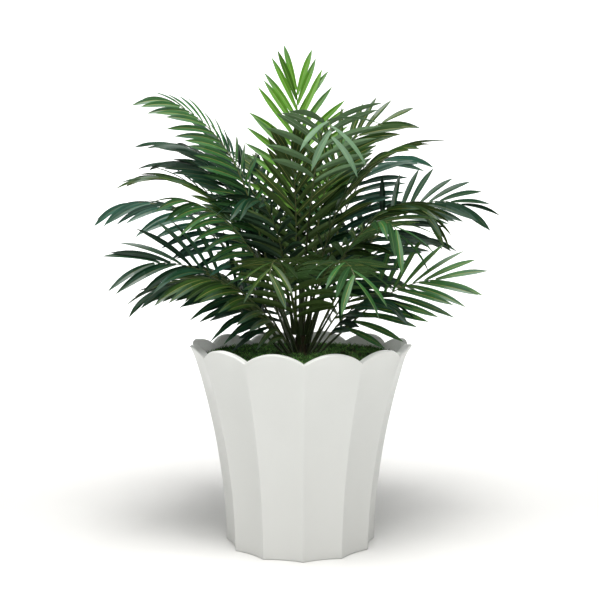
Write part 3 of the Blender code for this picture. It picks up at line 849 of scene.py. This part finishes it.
def depth_share(rib, k, axes):
    """How far out in the crown the middle of a leaflet lies: 0 at the centre, 1 at the outside.

    The inner leaflets of a fan that closes toward its tip count as deeper. The share picks the leaflets that
    are given painted shade.
    """
    middle = blade_spine(axes, 0.5)
    share = Vector([(middle[n] - CROWN_MIDDLE[n]) / CROWN_SIZE[n] for n in range(3)]).length
    if rib.close > FAN_CLOSE:
        share *= FAN_INNER_DEPTH + (1 - FAN_INNER_DEPTH) * k / (len(rib.places) - 1)
    return share


def find_room(rib, k, hand, trees, placed):
    others = [tree for other, tree in trees if other is not rib] + placed
    for stretch in LENGTH_TRIES:
        for lift in LIFT_TRIES:
            axes = leaflet_axes(rib, k, hand, lift, stretch)
            probe = probe_of(axes)
            if not any(boxes_meet(probe, other) and probe[0].overlap(other[0]) for other in others):
                rib.leaflets.append((axes, depth_share(rib, k, axes)))
                placed.append(probe)
                return


def leaflet_mesh(rng, axes, share):
    """Closed creased blade: rows of points on the upper and lower face, and its finishes.

    Leaflets deep in the crown, and a few at random, are given painted shade. Many others have a blue-grey
    tip that is partly the print's bluish tint and partly painted sheen.
    """
    foot, axis, across, face, length, droop = axes
    twist = rng.uniform(-LEAF_TWIST, LEAF_TWIST)
    bend = rng.uniform(-LEAF_BEND, LEAF_BEND) * length
    crease = math.radians(CREASE + rng.uniform(-5.0, 6.0))
    upper, lower = [], []
    for k in range(BLADE_STEPS + 1):
        s = k / BLADE_STEPS
        turn = Matrix.Rotation(math.radians(twist * s * s), 3, axis)
        wide, raised = turn @ across, turn @ face
        middle = blade_spine(axes, s) + across * bend * s * s
        half = blade_half_width(s) if k < BLADE_STEPS else LEAF_POINT
        for place in ACROSS_PLACES:
            lift = abs(place) * half * math.sin(crease)
            if abs(place) == MIDRIB_SHARE:
                lift = 0.0
            spot = middle + wide * place * half * math.cos(crease) + raised * lift
            thick = raised * (BLADE_THICKNESS / 2) * (EDGE_THINNESS if abs(place) == 1.0 else 1.0)
            upper.append(spot + thick)
            lower.append(spot - thick)
    points = upper + lower
    row, half_count = len(ACROSS_PLACES), len(upper)
    faces, looks = [], []
    # painted shade on leaflets deep in the crown and on a few at random; their midrib takes the underside
    # colour
    deep = share < PAINTED_SHADE_DEPTH + rng.uniform(-0.12, 0.12) or rng.random() < RANDOM_PAINTED_SHADE_SHARE
    shade = PAINTED_SHADE if deep else UPPER if rng.random() < FIRST_SHADE_SHARE else SECOND
    tip_row = BLADE_STEPS if deep or rng.random() < PLAIN_TIP_SHARE else rng.choice(TIP_ROWS)
    flip = axis.cross(across).dot(face) < 0
    for k in range(BLADE_STEPS):
        for c in range(row - 1):
            a, b = k * row + c, (k + 1) * row + c
            quad = (a, b, b + 1, a + 1)
            under = tuple(half_count + n for n in reversed(quad))
            faces += [quad, under]
            look = shade if k < tip_row else min(FIRST_SHEEN_TIP + k - tip_row, LAST_SHEEN_TIP)
            line = UNDER if deep else MIDRIB
            looks += [line, line] if c == MIDDLE_STRIP else [look, UNDER]
    for k in range(BLADE_STEPS):
        a, b = k * row, (k + 1) * row
        faces.append((a, half_count + a, half_count + b, b))
        faces.append((b + row - 1, half_count + b + row - 1, half_count + a + row - 1, a + row - 1))
        looks += [shade, shade]
    for k in (0, BLADE_STEPS):
        end_row = [k * row + c for c in range(row)]
        cap = end_row + [half_count + n for n in reversed(end_row)]
        faces.append(tuple(cap if k == 0 else reversed(cap)))
        looks.append(shade)
    if not flip:
        faces = [tuple(reversed(f)) for f in faces]
    return points, faces, looks


def rib_mesh(rib):
    """Round rib with a shallow groove above, swelling into a sheath at its foot."""
    points, looks = [], []
    rings = RIB_RINGS + 1
    for ring in range(rings):
        distance = rib.length * ring / RIB_RINGS
        point, along, side, up = rib.frame(distance)
        half_width, half_depth = rib.half_sizes(distance)
        swell = 1.0 + SHEATH_SWELL * max(0.0, 1.0 - distance / SHEATH_LENGTH)
        end = RIB_END if ring == RIB_RINGS else 1.0
        for k in range(RIB_SIDES):
            turn = 2 * math.pi * (k + 0.5) / RIB_SIDES
            groove = GROOVE if math.sin(turn) > 0.9 else 1.0
            points.append(point + side * math.cos(turn) * half_width * swell * end
                          + up * math.sin(turn) * half_depth * groove * end)
    for ring in range(RIB_RINGS):
        looks += [0 if ring < RIB_RINGS * rib.bare * PETIOLE_SHARE else 1] * RIB_SIDES
    return points, lathe_faces(rings, RIB_SIDES), looks + [0, 1]


def leaf_finish(name, shade, other, roughness, mottle, relief, specular):
    """Printed leaf cloth, with its fine weave over a soft unevenness."""
    return finish(name, shade, other, roughness, mottle=mottle, grain=LEAF_GRAIN, relief=relief,
                  specular=specular)


def tone_finishes(tone):
    """Finishes of one tone, in the order of the faces' places."""
    shade, other, under, midrib = TONES[tone]
    leaf, face_relief = "leaf_" + tone, (0.30, 0.0007)
    # a darker copy of the tone: painted shade for leaflets deep in the crown
    dark = tuple(c * PAINTED_SHADE_DARKNESS for c in shade)
    plain = [
        leaf_finish(leaf, shade, other, (0.38, 0.54), (28.0, 0.45), face_relief, 0.24),
        leaf_finish(leaf + "_second", other, shade, (0.36, 0.52), (24.0, 0.35), face_relief, 0.30),
        leaf_finish(leaf + "_under", under, shade, (0.50, 0.66), (28.0, 0.30), (0.25, 0.0006), 0.20),
        leaf_finish("midrib_" + tone, midrib, under, (0.45, 0.60), (40.0, 0.30), (0.10, 0.0003), 0.35),
        leaf_finish(leaf + "_deep", dark, shade, (0.46, 0.62), (24.0, 0.30), face_relief, 0.15),
    ]
    # tips: the print's bluish tint with painted sheen, stronger toward the point
    for step, part in enumerate(TIP_SHEEN_SHARES, 1):
        sheened = tuple(c + (t - c) * part for c, t in zip(shade, TIP_SHEEN_TINT))
        plain.append(leaf_finish(f"{leaf}_tip_{step}", sheened, shade, (0.34, 0.48), (30.0, 0.35),
                                 face_relief, 0.40))
    return plain


def make_fronds():
    feet = sockets()
    ribs = [Rib(name, feet[name]) for name in FRONDS]
    solids = [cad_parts[name].data for name in ("pot", "moss_bed", "stem")]
    grow_leaflets(ribs, [tree_of([v.co.copy() for v in solid.vertices],
                                 [tuple(face.vertices) for face in solid.polygons]) for solid in solids])
    petiole = finish("petiole_green_brown", (0.018, 0.036, 0.007), (0.032, 0.040, 0.009), (0.45, 0.65),
                     mottle=(35.0, 0.8), grain=(500.0, 60.0, 0.4), relief=(0.3, 0.0006), specular=0.4)
    green_rib = finish("rib_green", (0.055, 0.085, 0.020), (0.085, 0.090, 0.026), (0.40, 0.60),
                       mottle=(30.0, 0.7), grain=(500.0, 60.0, 0.4), relief=(0.25, 0.0005), specular=0.4)
    rib_pile = Pile("frond_ribs", [petiole, green_rib])
    rng = random.Random(23)
    for tone in TONES:
        pile = Pile("leaflets_" + tone, tone_finishes(tone))
        mine = [rib for rib in ribs if rib.tone == tone]
        for rib in mine:
            for axes, share in rib.leaflets:
                pile.add(*leaflet_mesh(rng, axes, share))
        pile.make([rib.name for rib in mine], crease=14)
    for rib in ribs:
        rib_pile.add(*rib_mesh(rib))
    rib_pile.make([], crease=50)


# Surroundings

def make_stage():
    """Pale studio floor that rises into a round wall far from the plant."""
    pale = finish("studio_pale", (0.86, 0.86, 0.85), (0.84, 0.84, 0.83), (0.75, 0.85), mottle=(1.0, 0.3),
                  grain=(200.0, 2.0, 0.5), relief=(0.02, 0.0005), specular=0.2)
    profile = [(FLOOR_RING, 0.0), (FLOOR_REACH, 0.0)]
    for step in range(1, WALL_CURVE_STEPS + 1):
        turn = math.radians(90 * step / WALL_CURVE_STEPS)
        profile.append((FLOOR_REACH + WALL_CURVE * math.sin(turn), WALL_CURVE * (1 - math.cos(turn))))
    sides = STAGE_SIDES
    points = [Vector((0, 0, 0))]
    for radius, height in profile:
        points += [outward(360 * k / sides) * radius + upright(height) for k in range(sides)]
    faces = [(0, 1 + k, 1 + (k + 1) % sides) for k in range(sides)]
    for ring in range(len(profile) - 1):
        low, high = 1 + ring * sides, 1 + (ring + 1) * sides
        for k in range(sides):
            n = (k + 1) % sides
            faces.append((low + k, high + k, high + n, low + n))
    mesh = bpy.data.meshes.new("studio_floor")
    mesh.from_pydata([tuple(p) for p in points], [], faces)
    mesh.materials.append(pale)
    mesh.shade_smooth()
    floor = bpy.data.objects.new("studio_floor", mesh)
    bpy.context.scene.collection.objects.link(floor)


def add_area(name, place, target, size, power, colour):
    light = bpy.data.lights.new(name, "AREA")
    light.shape = "DISK"
    light.size = size
    light.energy = power
    light.color = colour
    lamp = bpy.data.objects.new(name, light)
    lamp.location = place
    lamp.rotation_euler = (Vector(target) - Vector(place)).to_track_quat("-Z", "Y").to_euler()
    bpy.context.scene.collection.objects.link(lamp)


def make_light():
    world = bpy.data.worlds.new("studio_air")
    bpy.context.scene.world = world
    world.use_nodes = True
    air = world.node_tree.nodes["Background"]
    air.inputs["Color"].default_value = (1.0, 1.0, 1.0, 1.0)
    air.inputs["Strength"].default_value = AIR_STRENGTH
    add_area("top_softbox", (-0.05, -0.9, 2.9), (0, 0, 0.5), 1.5, 96.0, (1.0, 0.99, 0.97))
    add_area("front_softbox", (0.05, -2.8, 2.2), (0, 0, 0.5), 1.4, 15.0, (1.0, 1.0, 1.0))
    add_area("backdrop_left", (-1.6, 1.8, 2.6), (-0.8, 5.0, 1.0), 1.6, 110.0, (1.0, 1.0, 1.0))
    add_area("backdrop_right", (1.6, 1.8, 2.6), (0.8, 5.0, 1.0), 1.6, 110.0, (1.0, 1.0, 1.0))
    bpy.context.scene.view_settings.view_transform = "Standard"


def make_camera():
    lens = bpy.data.cameras.new("photo_camera")
    lens.lens = CAMERA_LENS
    lens.sensor_width = CAMERA_SENSOR
    lens.clip_start = 0.01
    camera = bpy.data.objects.new("photo_camera", lens)
    camera.location = CAMERA_PLACE
    camera.rotation_euler = (math.radians(CAMERA_TILT), 0.0, 0.0)
    bpy.context.scene.collection.objects.link(camera)
    bpy.context.scene.camera = camera


make_camera()
make_light()
make_stage()
make_planter()
make_moss()
make_stem()
make_fronds()
